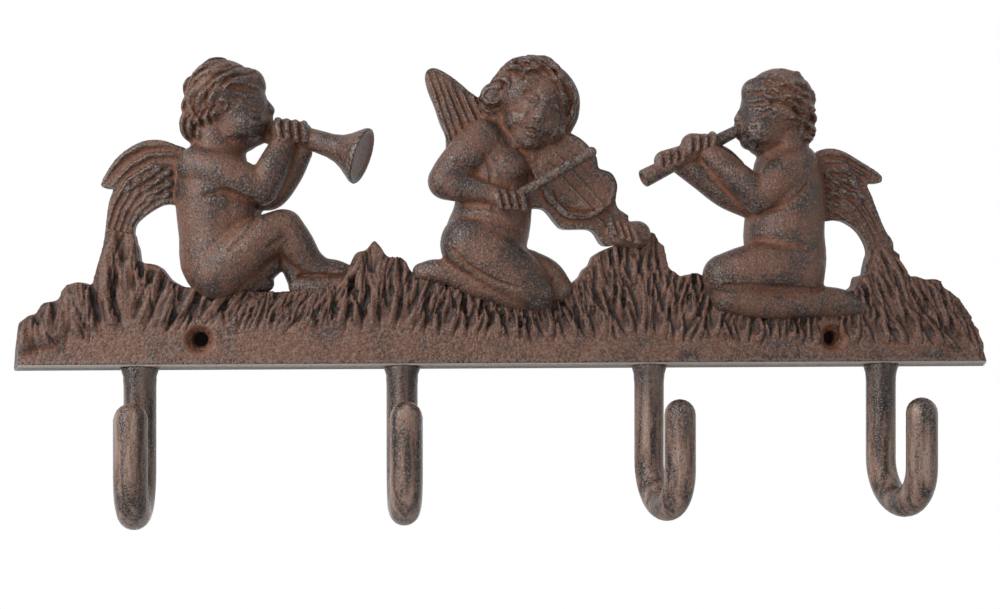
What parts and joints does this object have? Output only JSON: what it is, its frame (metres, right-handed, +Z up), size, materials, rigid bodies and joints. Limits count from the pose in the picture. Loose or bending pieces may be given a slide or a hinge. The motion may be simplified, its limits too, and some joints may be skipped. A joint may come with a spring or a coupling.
{
  "type": "coat hook rack",
  "caption": "Cast-iron wall rack of J hooks below a grassy bank with winged putti making music, fixed by countersunk screws.",
  "frame": {"origin": "midway between the two screw holes, on the wall plane", "axes": "+X along the rack to the right as seen from the room, +Y into the wall, +Z up"},
  "size_m": [0.34, 0.0375, 0.1587],
  "materials": {
    "casting": "raw sand casting with an even brown rust, rubbed dark grey on the high places"
  },
  "bodies": {
    "root": {"hook_rack": "casting"}
  },
  "joints": []
}
